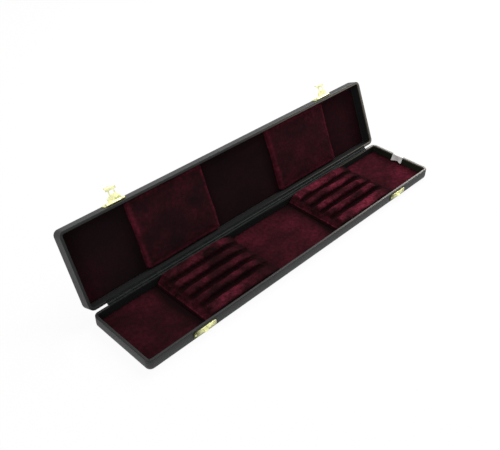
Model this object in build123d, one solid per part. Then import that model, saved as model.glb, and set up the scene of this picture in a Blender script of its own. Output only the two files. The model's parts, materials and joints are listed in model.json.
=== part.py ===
from build123d import *
import os
from math import sqrt

# A slim two-shell case for conductor's batons, standing open on its base.
# Millimetres. +X runs along the case, +Y points at the hinge, +Z is up.
# The origin is the middle of the base's underside.

# Outer sizes of the two shells
CASE_LENGTH = 445.0
CASE_WIDTH = 84.0
BASE_HEIGHT = 14.0
LID_HEIGHT = 17.0
RIM_GAP = 0.7
OPEN_ANGLE = 113.5

# Shell walls: board inside, covering outside and turned in over the rim
COVERING = 0.5
WALL_BOARD = 2.0
BASE_PANEL = 3.0
LID_PANEL = 2.2
CORNER_RADIUS = 6.0
EDGE_RADIUS = 4.6
RIM_RADIUS = 0.7

# Velvet covered card on the floor of each shell
LINING_CARD = 1.4
LINING_CLEARANCE = 0.3

# Foam racks in the base: five ridges with four grooves between them
LEFT_RACK_INSET = 73.0
RIGHT_RACK_INSET = 68.5
RACK_LENGTH = 104.0
RACK_RISE = 4.2
RACK_CLEARANCE = 0.9
RIDGE_COUNT = 5
GROOVE_WIDTH = 6.0
GROOVE_DEPTH = 7.8
RIDGE_ROUNDING = 3.6
RACK_END_FACE = 2.7
RACK_END_SLOPE = 9.0
RACK_END_BAR = 5.0
RACK_END_BAR_DROP = 3.6
RACK_TAIL_LENGTH = 26.0
RACK_TAIL_DROP = 5.2
RACK_END_ROUNDING = 2.0
RACK_TRIM_ABOVE = 0.3

# Padded velvet blocks in the lid, facing the racks
LEFT_PAD_INSET = 77.0
RIGHT_PAD_INSET = 67.0
PAD_LENGTH = 101.0
PAD_SIDE_CLEARANCE = 0.6
PAD_TO_RACK_GAP = 2.0
PAD_CROWN = 1.6
PAD_DRAWN_IN = 0.6
PAD_CORNER = 3.5
PAD_EDGE = 1.8

# Continuous hinge along the back rims
HINGE_END_INSET = 18.5
KNUCKLE_COUNT = 41
KNUCKLE_GAP = 0.2
KNUCKLE_RADIUS = 1.4
HINGE_PIN_RADIUS = 0.7
PIN_CLEARANCE = 0.05
HINGE_OFFSET = 0.85
LEAF_THICKNESS = 0.6
LEAF_FACE_GAP = 0.1
LEAF_INSET = 0.25
KNUCKLE_CLEARANCE = 0.3
HINGE_NAIL_COUNT = 12
HINGE_NAIL_END = 12.0
HINGE_NAIL_HEAD_RADIUS = 0.7
HINGE_NAIL_HEAD = 0.3
HINGE_NAIL_RADIUS = 0.4
HINGE_NAIL_LENGTH = 6.0

# Latches on the lid's front wall
LATCH_END_INSET = 66.5
LATCH_PLATE_WIDTH = 24.0
LATCH_PLATE_THICKNESS = 0.8
LATCH_PLATE_CORNER = 1.2
LATCH_NAIL_INSET = 3.5
PIVOT_DEPTH = 3.4
PIVOT_OFFSET = 1.55
BARREL_RADIUS = 1.25
BARREL_GAP = 0.2
HASP_PIN_RADIUS = 0.5
HASP_OPEN_ANGLE = 95.0
HASP_SHEET = 0.7
HASP_ROOT_WIDTH = 15.0
HASP_ROOT_LENGTH = 7.3
HASP_SHOULDER = 2.2
HASP_RAIL_WIDTH = 1.1
HASP_TIP_HEIGHT = 2.1
HASP_BAR_WIDTH = 11.5
HASP_BAR_LENGTH = 2.4
HASP_CURL_RADIUS = 1.6

# Strikes on the base's front wall
STRIKE_WIDTH = 28.5
STRIKE_RIM_GAP = 2.6
STRIKE_THICKNESS = 0.8
STRIKE_CORNER = 1.6
STRIKE_NAIL_INSET = 2.45
HOOK_WIDTH = 4.4
HOOK_REACH = 2.6
HOOK_NOSE = 1.5
HOOK_TOP_MARGIN = 1.15
HOOK_SIDE_CLEARANCE = 0.4
HOOK_UNDER_CLEARANCE = 0.35

# Small domed nails of the latches and strikes
NAIL_HEAD_RADIUS = 1.3
NAIL_HEAD = 0.8
NAIL_RADIUS = 0.6
NAIL_LENGTH = 2.4
NAIL_HOLE_CLEARANCE = 0.03

# Ribbon tab folded over the base's right end wall
TAB_WIDTH = 15.0
TAB_THICKNESS = 0.35
TAB_FLOOR_GAP = 0.7
TAB_OUTSIDE = 4.5
TAB_Y = 1.5

# Sizes that follow from the ones above
WALL = WALL_BOARD + 2 * COVERING
HALF_LENGTH = CASE_LENGTH / 2
HALF_WIDTH = CASE_WIDTH / 2
FRONT_FACE = -HALF_WIDTH
HINGE_LENGTH = CASE_LENGTH - 2 * HINGE_END_INSET
HINGE_Y = HALF_WIDTH + HINGE_OFFSET
HINGE_Z = BASE_HEIGHT + RIM_GAP / 2
BASE_FLOOR = COVERING + BASE_PANEL
BASE_LINING_TOP = BASE_FLOOR + LINING_CARD
LID_DATUM = BASE_HEIGHT - LID_HEIGHT
LID_LINING_TOP = LID_DATUM + COVERING + LID_PANEL + LINING_CARD
RACK_TOP = BASE_HEIGHT + RACK_RISE
PAD_TOP = BASE_HEIGHT + RIM_GAP - RACK_RISE - PAD_TO_RACK_GAP
LEAF_TOP = HINGE_Z - LEAF_FACE_GAP / 2
LEAF_FRONT = HALF_WIDTH - WALL + LEAF_INSET
RELIEF_RADIUS = KNUCKLE_RADIUS + KNUCKLE_CLEARANCE
LEAF_BACK = HINGE_Y - RELIEF_RADIUS
LATCH_X = HALF_LENGTH - LATCH_END_INSET
PIVOT_Y = FRONT_FACE - PIVOT_OFFSET
PIVOT_Z = BASE_HEIGHT + RIM_GAP + PIVOT_DEPTH
LATCH_PLATE_LOW = PIVOT_Z + BARREL_RADIUS
LATCH_PLATE_HIGH = BASE_HEIGHT + RIM_GAP + LID_HEIGHT - EDGE_RADIUS
WINDOW_WIDTH = HOOK_WIDTH + 2 * HOOK_SIDE_CLEARANCE
HASP_BAR_TOP = HASP_TIP_HEIGHT + HASP_CURL_RADIUS + HASP_BAR_LENGTH
HOOK_UNDERSIDE = HASP_BAR_TOP + HOOK_UNDER_CLEARANCE
STRIKE_TOP = BASE_HEIGHT - STRIKE_RIM_GAP
HOOK_TOP = STRIKE_TOP - HOOK_TOP_MARGIN
TAB_INSIDE = BASE_HEIGHT - BASE_LINING_TOP - TAB_FLOOR_GAP
HASP_SIDES = (("left", -LATCH_X), ("right", LATCH_X))


def rounded_block(length, width, low, high, corner):
    """A block centred on X and Y, from low to high, with round upright corners."""
    outline = RectangleRounded(length, width, corner)
    return Pos(0, 0, low) * extrude(outline, amount=high - low)


def x_cylinder(radius, length, x, y, z):
    """A cylinder along X, centred at x."""
    return Pos(x, y, z) * Rot(0, 90, 0) * Cylinder(radius, length)


def box_between(low, high):
    """A plain block between two opposite corners."""
    size = [b - a for a, b in zip(low, high)]
    middle = [(a + b) / 2 for a, b in zip(low, high)]
    return Pos(*middle) * Box(*size)


def yz_prism(points, x_start, x_end):
    """A prism along X on an outline of (y, z) points."""
    face = make_face(Polyline(*[(0, y, z) for y, z in points], close=True))
    return Pos(x_start, 0, 0) * extrude(face, amount=x_end - x_start, dir=(1, 0, 0))


def turned_over(shape):
    """The same shape mirrored in the middle plane between the two rims."""
    return shape.mirror(Plane.XY.offset(HINGE_Z))


def lid_opened(shape):
    """A piece of the closed lid, swung back about the hinge pin to the open position."""
    axis = Axis((0, HINGE_Y, HINGE_Z), (1, 0, 0))
    return shape.rotate(axis, -OPEN_ANGLE)


def hasp_opened(shape):
    """A piece of a closed hasp, swung out about its own pin."""
    axis = Axis((0, PIVOT_Y, PIVOT_Z), (1, 0, 0))
    return shape.rotate(axis, -HASP_OPEN_ANGLE)


def tray_parts(low, panel):
    """Covering, wall frame and bottom board of a shell whose rim lies at BASE_HEIGHT."""
    outer = rounded_block(CASE_LENGTH, CASE_WIDTH, low, BASE_HEIGHT, CORNER_RADIUS)
    outer = fillet(outer.faces().sort_by(Axis.Z)[0].edges(), EDGE_RADIUS)
    inset = COVERING
    core = rounded_block(
        CASE_LENGTH - 2 * inset,
        CASE_WIDTH - 2 * inset,
        low + inset,
        BASE_HEIGHT - inset,
        CORNER_RADIUS - inset,
    )
    core = fillet(core.faces().sort_by(Axis.Z)[0].edges(), EDGE_RADIUS - inset)
    deep = COVERING + WALL_BOARD
    well = rounded_block(
        CASE_LENGTH - 2 * deep,
        CASE_WIDTH - 2 * deep,
        low,
        BASE_HEIGHT,
        CORNER_RADIUS - deep,
    )
    floor = low + COVERING + panel
    cavity = rounded_block(
        CASE_LENGTH - 2 * WALL,
        CASE_WIDTH - 2 * WALL,
        floor,
        BASE_HEIGHT + 1,
        CORNER_RADIUS - WALL,
    )
    shell = outer - cavity
    shell = fillet(shell.faces().sort_by(Axis.Z)[-1].edges(), RIM_RADIUS)
    below_floor = box_between((-HALF_LENGTH, -HALF_WIDTH, low), (HALF_LENGTH, HALF_WIDTH, floor))
    relief_length = HINGE_LENGTH + 2 * KNUCKLE_CLEARANCE
    relief = x_cylinder(RELIEF_RADIUS, relief_length, 0, HINGE_Y, HINGE_Z)
    deep_relief = x_cylinder(RELIEF_RADIUS + COVERING, relief_length + 2 * COVERING, 0, HINGE_Y, HINGE_Z)
    rebate = box_between(
        (-relief_length / 2, HALF_WIDTH - WALL, LEAF_TOP - LEAF_THICKNESS),
        (relief_length / 2, HALF_WIDTH + 1, BASE_HEIGHT + 1),
    )
    board = core & well & below_floor
    frame = core - well - deep_relief
    covering = shell - board - frame - relief - rebate
    return covering, frame, board


def nail(head_radius, head, radius, length):
    """A small nail pointing down, with the underside of its head at the origin."""
    shank = Pos(0, 0, -length / 2) * Cylinder(radius, length)
    button = Pos(0, 0, head / 2) * Cylinder(head_radius, head)
    button = fillet(button.edges().sort_by(Axis.Z)[-1:], head * 0.6)
    return shank + button


def nail_hole(radius, length):
    """The clearance that a nail's shank needs."""
    return Pos(0, 0, (1 - length) / 2) * Cylinder(radius + NAIL_HOLE_CLEARANCE, length + 1)


def hinge_nail_places():
    """Middle of each nail head's underside on the base leaf."""
    first = -HINGE_LENGTH / 2 + HINGE_NAIL_END
    step = (HINGE_LENGTH - 2 * HINGE_NAIL_END) / (HINGE_NAIL_COUNT - 1)
    y = (LEAF_FRONT + LEAF_BACK) / 2
    z = LEAF_TOP - HINGE_NAIL_HEAD
    return [Pos(first + step * i, y, z) for i in range(HINGE_NAIL_COUNT)]


def hinge_nails():
    """The countersunk nails of one leaf, as separate solids, and their holes."""
    shank = Pos(0, 0, -HINGE_NAIL_LENGTH / 2) * Cylinder(HINGE_NAIL_RADIUS, HINGE_NAIL_LENGTH)
    head = Pos(0, 0, HINGE_NAIL_HEAD / 2) * Cylinder(HINGE_NAIL_HEAD_RADIUS, HINGE_NAIL_HEAD)
    sink_radius = HINGE_NAIL_HEAD_RADIUS + NAIL_HOLE_CLEARANCE
    sink = Pos(0, 0, HINGE_NAIL_HEAD) * Cylinder(sink_radius, 2 * HINGE_NAIL_HEAD)
    hole = nail_hole(HINGE_NAIL_RADIUS, HINGE_NAIL_LENGTH) + sink
    holes = [place * hole for place in hinge_nail_places()]
    nails = [place * (shank + head) for place in hinge_nail_places()]
    return nails, holes


def hinge_leaf(first_knuckle, holes):
    """The lower leaf with every second knuckle, starting from the given one."""
    pitch = HINGE_LENGTH / KNUCKLE_COUNT
    leaf_low = LEAF_TOP - LEAF_THICKNESS
    half = HINGE_LENGTH / 2
    plate = box_between((-half, LEAF_FRONT, leaf_low), (half, LEAF_BACK, LEAF_TOP))
    knuckles = []
    for i in range(first_knuckle, KNUCKLE_COUNT, 2):
        x = -half + pitch * (i + 0.5)
        reach = (pitch - KNUCKLE_GAP) / 2
        root = box_between((x - reach, LEAF_BACK - KNUCKLE_GAP, leaf_low), (x + reach, HINGE_Y, LEAF_TOP))
        knuckles.append(root + x_cylinder(KNUCKLE_RADIUS, 2 * reach, x, HINGE_Y, HINGE_Z))
    bore = x_cylinder(HINGE_PIN_RADIUS + PIN_CLEARANCE, HINGE_LENGTH + 2, 0, HINGE_Y, HINGE_Z)
    return plate.fuse(*knuckles).cut(bore).cut(*holes)


def lining(low):
    """A velvet covered card that drops into a shell, lying from low upwards."""
    inset = 2 * (WALL + LINING_CLEARANCE)
    corner = CORNER_RADIUS - WALL - LINING_CLEARANCE
    card = rounded_block(CASE_LENGTH - inset, CASE_WIDTH - inset, low, low + LINING_CARD, corner)
    return fillet(card.faces().sort_by(Axis.Z)[-1].edges(), LINING_CARD * 0.3)


def rack_profile():
    """Outline of the ridges and grooves, across the case, with round crests."""
    half = HALF_WIDTH - WALL - RACK_CLEARANCE
    pitch = 2 * half / RIDGE_COUNT
    low = BASE_LINING_TOP
    top = RACK_TOP
    block = Pos(0, (low + top) / 2) * Rectangle(2 * half, top - low)
    for i in range(1, RIDGE_COUNT):
        y = -half + pitch * i
        slot = Pos(y, top) * Rectangle(GROOVE_WIDTH, 2 * (GROOVE_DEPTH - GROOVE_WIDTH / 2))
        bottom = Pos(y, top - GROOVE_DEPTH + GROOVE_WIDTH / 2) * Circle(GROOVE_WIDTH / 2)
        block = block - slot - bottom
    crests = block.vertices().filter_by_position(Axis.Y, top - 0.01, top + 0.01)
    crest_width = pitch - GROOVE_WIDTH
    return fillet(crests, min(RIDGE_ROUNDING, crest_width * 0.45))


def rack(start):
    """A foam rack, its grooves stopping short of a bar across its left end."""
    half = HALF_WIDTH - WALL - RACK_CLEARANCE
    low = BASE_LINING_TOP
    top = RACK_TOP
    end = start + RACK_LENGTH
    across = Plane(origin=(start, 0, 0), x_dir=(0, 1, 0), z_dir=(1, 0, 0))
    ridges = extrude(across * rack_profile(), amount=RACK_LENGTH)
    bar = box_between((start, -half, low), (start + RACK_END_BAR, half, top - RACK_END_BAR_DROP))
    above = top + RACK_TRIM_ABOVE
    side = [
        (start, low),
        (start, low + RACK_END_FACE),
        (start + RACK_END_SLOPE, above),
        (end - RACK_TAIL_LENGTH, above),
        (end, top - RACK_TAIL_DROP),
        (end, low),
    ]
    along = Plane.XZ.offset(-HALF_WIDTH)
    outline = make_face(Polyline(*side, close=True))
    rounded = [outline.vertices().sort_by_distance((x, z, 0))[0] for x, z in side[1:5]]
    outline = fillet(rounded, RACK_END_ROUNDING)
    envelope = extrude(along * outline, amount=CASE_WIDTH)
    return (ridges + bar) & envelope


def lid_pad(centre):
    """A crowned pad with drawn-in sides, standing on the lid's lining before it is turned over."""
    half_x = PAD_LENGTH / 2
    half_y = HALF_WIDTH - WALL - PAD_SIDE_CLEARANCE
    low = LID_LINING_TOP
    top = PAD_TOP
    corners = [(-half_x, -half_y), (half_x, -half_y), (half_x, half_y), (-half_x, half_y)]
    middles = [
        (0, -half_y + PAD_DRAWN_IN),
        (half_x - PAD_DRAWN_IN, 0),
        (0, half_y - PAD_DRAWN_IN),
        (-half_x + PAD_DRAWN_IN, 0),
    ]
    sides = [ThreePointArc(corners[i], middles[i], corners[(i + 1) % 4]) for i in range(4)]
    outline = make_face(Curve() + sides)
    outline = fillet(outline.vertices(), PAD_CORNER)
    block = Pos(0, 0, low) * extrude(outline, amount=top - low)
    reach = sqrt(half_x**2 + half_y**2)
    crown_radius = (reach**2 + PAD_CROWN**2) / (2 * PAD_CROWN)
    block = block & (Pos(0, 0, top - crown_radius) * Sphere(crown_radius))
    rim = block.edges().filter_by(lambda e: e.center().Z > low + (top - low) * 0.4)
    rim = rim.filter_by(lambda e: abs(e.position_at(0).Z - e.position_at(1).Z) < (top - low) * 0.4)
    return Pos(centre, 0, 0) * fillet(rim, PAD_EDGE)


def front_plate(width, low, high, thickness, corner, x):
    """A plate on a front wall, with round corners, centred at x and running from low to high."""
    outline = RectangleRounded(width, high - low, corner)
    place = Plane(origin=(x, FRONT_FACE, (low + high) / 2), x_dir=(1, 0, 0), z_dir=(0, -1, 0))
    return extrude(place * outline, amount=thickness)


def front_nails(x, low, high, spacing, thickness):
    """Two domed nails through a plate on a front wall, and their holes."""
    z = (low + high) / 2
    places = [Pos(x + side * spacing / 2, FRONT_FACE - thickness, z) * Rot(90, 0, 0) for side in (-1, 1)]
    whole = nail(NAIL_HEAD_RADIUS, NAIL_HEAD, NAIL_RADIUS, NAIL_LENGTH)
    nails = [place * whole for place in places]
    holes = [place * nail_hole(NAIL_RADIUS, NAIL_LENGTH) for place in places]
    return nails, holes


def strike(x, holes):
    """The strike: a plate with a central hook that the hasp's bar catches under."""
    plate = front_plate(STRIKE_WIDTH, EDGE_RADIUS, STRIKE_TOP, STRIKE_THICKNESS, STRIKE_CORNER, x)
    face = FRONT_FACE - STRIKE_THICKNESS / 2
    nose = FRONT_FACE - STRIKE_THICKNESS - HOOK_REACH
    side = [
        (face, HOOK_UNDERSIDE),
        (nose, HOOK_UNDERSIDE),
        (nose, HOOK_UNDERSIDE + HOOK_NOSE),
        (face, HOOK_TOP),
    ]
    hook = yz_prism(side, x - HOOK_WIDTH / 2, x + HOOK_WIDTH / 2)
    tip = hook.edges().filter_by(Axis.X).sort_by(Axis.Y)[:2]
    hook = fillet(tip, HOOK_NOSE * 0.45)
    return (plate + hook).cut(*holes)


def latch_plate(x, holes):
    """The latch's fixed plate with a barrel at each end of its lower edge, lid closed."""
    low = LATCH_PLATE_LOW
    plate = front_plate(
        LATCH_PLATE_WIDTH, low, LATCH_PLATE_HIGH, LATCH_PLATE_THICKNESS, LATCH_PLATE_CORNER, x
    )
    barrel = (LATCH_PLATE_WIDTH - HASP_ROOT_WIDTH) / 2 - LATCH_PLATE_CORNER - BARREL_GAP
    for turn in (-1, 1):
        centre = x + turn * (HASP_ROOT_WIDTH + 2 * BARREL_GAP + barrel) / 2
        root = box_between(
            (centre - barrel / 2, FRONT_FACE - LATCH_PLATE_THICKNESS, PIVOT_Z),
            (centre + barrel / 2, FRONT_FACE, low + LATCH_PLATE_CORNER),
        )
        plate = plate + root + x_cylinder(BARREL_RADIUS, barrel, centre, PIVOT_Y, PIVOT_Z)
    bore = x_cylinder(HASP_PIN_RADIUS + PIN_CLEARANCE, LATCH_PLATE_WIDTH + 2, x, PIVOT_Y, PIVOT_Z)
    return plate.cut(bore).cut(*holes)


def hasp(x):
    """The hasp closed: a barrel, a wide root, a windowed neck and a curled bar at its tip."""
    bar_low = HASP_BAR_TOP - HASP_BAR_LENGTH
    root_low = PIVOT_Z - HASP_ROOT_LENGTH
    half_root = HASP_ROOT_WIDTH / 2
    half_neck = WINDOW_WIDTH / 2 + HASP_RAIL_WIDTH
    half_bar = HASP_BAR_WIDTH / 2
    right = [
        (half_root, PIVOT_Z),
        (half_root, root_low + HASP_SHOULDER),
        (half_neck, root_low),
        (half_neck, HASP_BAR_TOP),
        (half_bar, HASP_BAR_TOP),
        (half_bar, bar_low),
    ]
    outline = right + [(-u, v) for u, v in reversed(right)]
    place = Plane(origin=(x, PIVOT_Y + HASP_SHEET / 2, 0), x_dir=(1, 0, 0), z_dir=(0, -1, 0))
    sheet = extrude(place * make_face(Polyline(*outline, close=True)), amount=HASP_SHEET)
    curl_y = PIVOT_Y + HASP_SHEET / 2 - HASP_CURL_RADIUS
    curl = x_cylinder(HASP_CURL_RADIUS, HASP_BAR_WIDTH, x, curl_y, bar_low)
    curl = curl - x_cylinder(HASP_CURL_RADIUS - HASP_SHEET, HASP_BAR_WIDTH + 2, x, curl_y, bar_low)
    upper = box_between(
        (x - HASP_BAR_WIDTH, curl_y - 2 * HASP_CURL_RADIUS, bar_low),
        (x + HASP_BAR_WIDTH, curl_y + 2 * HASP_CURL_RADIUS, bar_low + 2 * HASP_CURL_RADIUS),
    )
    window = box_between(
        (x - WINDOW_WIDTH / 2, PIVOT_Y - HASP_SHEET, HASP_BAR_TOP),
        (x + WINDOW_WIDTH / 2, PIVOT_Y + HASP_SHEET, HOOK_TOP),
    )
    barrel = x_cylinder(BARREL_RADIUS, HASP_ROOT_WIDTH, x, PIVOT_Y, PIVOT_Z)
    bore = x_cylinder(HASP_PIN_RADIUS + PIN_CLEARANCE, HASP_ROOT_WIDTH + 2, x, PIVOT_Y, PIVOT_Z)
    return (sheet + (curl - upper) + barrel).cut(bore, window)


def ribbon_tab():
    """A short ribbon folded over the base's right end wall."""
    inside = HALF_LENGTH - WALL
    low_y = TAB_Y - TAB_WIDTH / 2
    high_y = TAB_Y + TAB_WIDTH / 2
    top = BASE_HEIGHT + TAB_THICKNESS
    over = box_between((inside - TAB_THICKNESS, low_y, BASE_HEIGHT), (HALF_LENGTH + TAB_THICKNESS, high_y, top))
    inner = box_between((inside - TAB_THICKNESS, low_y, BASE_HEIGHT - TAB_INSIDE), (inside, high_y, top))
    outer = box_between(
        (HALF_LENGTH, low_y, BASE_HEIGHT - TAB_OUTSIDE), (HALF_LENGTH + TAB_THICKNESS, high_y, top)
    )
    return over + inner + outer


def write(name, shape):
    """Save one piece, or one group of like pieces, under its name."""
    solids = shape if isinstance(shape, list) else [shape]
    found = [solid for piece in solids for solid in piece.solids()]
    body = found[0] if len(found) == 1 else Compound(children=found)
    body.label = name
    export_step(body, os.path.join("parts", name + ".step"))


def main():
    os.makedirs("parts", exist_ok=True)

    leaf_nails, leaf_holes = hinge_nails()
    strike_nails = []
    strike_holes = []
    latch_nails = []
    latch_holes = []
    strike_spacing = STRIKE_WIDTH - 2 * STRIKE_NAIL_INSET
    latch_spacing = LATCH_PLATE_WIDTH - 2 * LATCH_NAIL_INSET
    for side, x in HASP_SIDES:
        nails, holes = front_nails(x, EDGE_RADIUS, STRIKE_TOP, strike_spacing, STRIKE_THICKNESS)
        strike_nails += nails
        strike_holes += holes
        nails, holes = front_nails(
            x, LATCH_PLATE_LOW, LATCH_PLATE_HIGH, latch_spacing, LATCH_PLATE_THICKNESS
        )
        latch_nails += nails
        latch_holes += holes

    # Base
    covering, frame, board = tray_parts(0, BASE_PANEL)
    write("base_covering", covering.cut(*strike_holes, *leaf_holes))
    write("base_wall_frame", frame.cut(*strike_holes, *leaf_holes))
    write("base_bottom_board", board)
    write("base_floor_lining", lining(BASE_FLOOR))
    write("rack_left", rack(LEFT_RACK_INSET - HALF_LENGTH))
    write("rack_right", rack(HALF_LENGTH - RIGHT_RACK_INSET - RACK_LENGTH))
    write("ribbon_tab", ribbon_tab())
    write("hinge_leaf_base", hinge_leaf(0, leaf_holes))
    write("hinge_pin", x_cylinder(HINGE_PIN_RADIUS, HINGE_LENGTH, 0, HINGE_Y, HINGE_Z))
    write("hinge_nails_base", leaf_nails)
    write("strike_nails", strike_nails)

    # Lid, made closed and then swung open
    covering, frame, board = tray_parts(LID_DATUM, LID_PANEL)
    lid_covering = turned_over(covering.cut(*leaf_holes)).cut(*latch_holes)
    lid_frame = turned_over(frame.cut(*leaf_holes)).cut(*latch_holes)
    write("lid_covering", lid_opened(lid_covering))
    write("lid_wall_frame", lid_opened(lid_frame))
    write("lid_top_board", lid_opened(turned_over(board)))
    write("lid_lining", lid_opened(turned_over(lining(LID_DATUM + COVERING + LID_PANEL))))
    left_pad = lid_pad(LEFT_PAD_INSET + PAD_LENGTH / 2 - HALF_LENGTH)
    right_pad = lid_pad(HALF_LENGTH - RIGHT_PAD_INSET - PAD_LENGTH / 2)
    write("lid_pad_left", lid_opened(turned_over(left_pad)))
    write("lid_pad_right", lid_opened(turned_over(right_pad)))
    write("hinge_leaf_lid", lid_opened(turned_over(hinge_leaf(1, leaf_holes))))
    write("hinge_nails_lid", [lid_opened(turned_over(piece)) for piece in leaf_nails])
    write("latch_nails", [lid_opened(piece) for piece in latch_nails])

    # Latches and strikes, one of each per side
    for side, x in HASP_SIDES:
        write("strike_" + side, strike(x, strike_holes))
        write("latch_plate_" + side, lid_opened(latch_plate(x, latch_holes)))
        pin = x_cylinder(HASP_PIN_RADIUS, LATCH_PLATE_WIDTH - 2 * LATCH_PLATE_CORNER, x, PIVOT_Y, PIVOT_Z)
        write("hasp_pin_" + side, lid_opened(pin))
        write("hasp_" + side, lid_opened(hasp_opened(hasp(x))))


main()
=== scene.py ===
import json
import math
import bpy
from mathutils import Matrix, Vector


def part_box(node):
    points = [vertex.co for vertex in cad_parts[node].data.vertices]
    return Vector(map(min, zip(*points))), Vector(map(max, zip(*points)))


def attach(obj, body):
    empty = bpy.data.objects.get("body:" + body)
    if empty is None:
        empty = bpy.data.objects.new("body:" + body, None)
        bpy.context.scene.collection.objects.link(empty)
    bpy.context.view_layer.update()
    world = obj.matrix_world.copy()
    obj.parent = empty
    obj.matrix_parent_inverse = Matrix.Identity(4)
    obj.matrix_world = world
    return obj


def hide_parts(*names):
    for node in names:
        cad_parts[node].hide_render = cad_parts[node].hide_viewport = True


bl_info = {
    "name": "Baton Case",
    "version": (1, 0, 0),
    "blender": (4, 5, 0),
    "location": "View3D > Sidebar > Baton Case",
    "description": "Dresses the packed baton case in leatherette, velvet, steel and brass",
    "category": "Object",
}

import bmesh
import bpy
import numpy as np
from bpy.props import FloatProperty, FloatVectorProperty, PointerProperty
from bpy.types import Operator, Panel, PropertyGroup
from mathutils import Matrix, Vector

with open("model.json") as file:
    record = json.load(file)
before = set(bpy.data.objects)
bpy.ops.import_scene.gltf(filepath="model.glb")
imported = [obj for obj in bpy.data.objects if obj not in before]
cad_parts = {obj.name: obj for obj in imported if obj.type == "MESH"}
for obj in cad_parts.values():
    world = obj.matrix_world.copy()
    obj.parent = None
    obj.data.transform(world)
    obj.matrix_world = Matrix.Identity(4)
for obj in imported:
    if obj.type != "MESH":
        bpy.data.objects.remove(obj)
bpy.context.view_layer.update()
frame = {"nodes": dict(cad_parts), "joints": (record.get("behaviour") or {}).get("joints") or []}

MM = 0.001
# The cloth settles best at the size of a cushion, so it is made this much larger while it swells.
CLOTH_SCALE = 10.0
CLOTH_FRAMES = 20
# From one ridge of a rack to the next.
RIDGE_PITCH = 0.01524
# Nails are turned about their own axes by chance, up to this angle.
NAIL_SPIN = 6.28
PHOTO_WIDTH = 500.0
WORLD_LIGHT = 0.35
FLOOR_WIDTH = 16.0
# The share of the floor's looks that is plain white light, which leaves a faint shadow.
FLOOR_GLOW = 0.94
# The covering inside the shells: this far from the middle along X and Y, and from the hinge's height.
INSIDE_X = 0.2197
INSIDE_Y = 0.0392
INSIDE_Z = 0.0118
# The inner edges of the rims, where the painted rim highlight is palest: this far from the middle along X and
# Y.
RIM_X = 0.2196
RIM_Y = 0.0391
HINGE = next(joint for joint in frame["joints"] if joint["name"] == "lid_hinge")
HINGE_PLACE = Vector(HINGE["pos_m"])
OPEN_ANGLE = math.radians(HINGE["range_deg"][1])


class BatonCaseSizes(PropertyGroup):
    skin: FloatProperty(
        name="Velvet Skin Mesh",
        description="Size of the faces that the velvet covers are made of",
        default=1.25 * MM,
        unit="LENGTH",
    )
    swell: FloatProperty(
        name="Velvet Swell",
        description="How far the velvet over foam may swell out",
        default=0.6 * MM,
        unit="LENGTH",
    )
    tuck: FloatProperty(
        name="Velvet Tuck",
        description="How far the velvet on the racks is pulled in before it swells",
        default=0.4 * MM,
        unit="LENGTH",
    )
    rack_waves: FloatProperty(
        name="Rack Waves",
        description="How far the crests of the rack ridges wander up and down",
        default=0.7 * MM,
        unit="LENGTH",
    )
    pad_waves: FloatProperty(
        name="Pad Waves",
        description="How uneven the faces of the lid pads are",
        default=0.35 * MM,
        unit="LENGTH",
    )
    card_waves: FloatProperty(
        name="Lining Waves",
        description="How uneven the velvet on the lining cards is",
        default=0.16 * MM,
        unit="LENGTH",
    )
    brass_edge: FloatProperty(
        name="Brass Edge",
        description="Width of the worn edge on the brass fittings",
        default=0.14 * MM,
        unit="LENGTH",
    )
    ribbon_lift: FloatProperty(
        name="Ribbon Lift",
        description="How far the end of the ribbon stands off the inner wall",
        default=3.2 * MM,
        unit="LENGTH",
    )


class BatonCaseColours(PropertyGroup):
    leatherette: FloatVectorProperty(
        name="Leatherette",
        description="Colour of the grained covering",
        default=(0.0155, 0.0172, 0.016),
        subtype="COLOR",
        size=3,
    )
    velvet: FloatVectorProperty(
        name="Velvet",
        description="Colour of the velvet's upright pile",
        default=(0.0115, 0.005, 0.0055),
        subtype="COLOR",
        size=3,
    )
    velvet_bright: FloatVectorProperty(
        name="Brushed Velvet",
        description="Colour of the velvet where its pile lies over",
        default=(0.13, 0.016, 0.03),
        subtype="COLOR",
        size=3,
    )
    steel: FloatVectorProperty(
        name="Black Steel",
        description="Colour of the lacquered hinge",
        default=(0.007, 0.009, 0.008),
        subtype="COLOR",
        size=3,
    )
    brass: FloatVectorProperty(
        name="Brass",
        description="Colour of the pale plated brass",
        default=(0.95, 0.95, 0.52),
        subtype="COLOR",
        size=3,
    )
    ribbon: FloatVectorProperty(
        name="Ribbon",
        description="Colour of the woven ribbon",
        default=(0.93, 0.92, 0.9),
        subtype="COLOR",
        size=3,
    )
    board: FloatVectorProperty(
        name="Board",
        description="Colour of the board under the covering",
        default=(0.45, 0.32, 0.19),
        subtype="COLOR",
        size=3,
    )


def sizes():
    return bpy.context.scene.baton_case_sizes


def colours():
    return bpy.context.scene.baton_case_colours


def lid_turn():
    """Takes a piece of the closed lid to where it stands open."""
    there = Matrix.Translation(HINGE_PLACE)
    return there @ Matrix.Rotation(-OPEN_ANGLE, 4, "X") @ there.inverted()


# Mesh helpers


def show(name, mesh):
    """Links a mesh to the scene as a new piece."""
    piece = bpy.data.objects.new(name, mesh)
    bpy.context.scene.collection.objects.link(piece)
    return piece


def shape(name, points, faces):
    """A new piece from points in metres and faces as lists of point numbers."""
    mesh = bpy.data.meshes.new(name)
    mesh.from_pydata([tuple(point) for point in points], [], [tuple(face) for face in faces])
    mesh.update()
    return show(name, mesh)


def copy_of(node, name):
    """A merged copy of a CAD node, with its flat faces whole again."""
    piece = show(name, frame["nodes"][node].data.copy())
    piece.data.materials.clear()
    skin = bmesh.new()
    skin.from_mesh(piece.data)
    bmesh.ops.remove_doubles(skin, verts=skin.verts, dist=1e-6)
    skin.to_mesh(piece.data)
    skin.free()
    if piece.data.has_custom_normals:
        piece.data.attributes.remove(piece.data.attributes["custom_normal"])
    return piece


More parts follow.
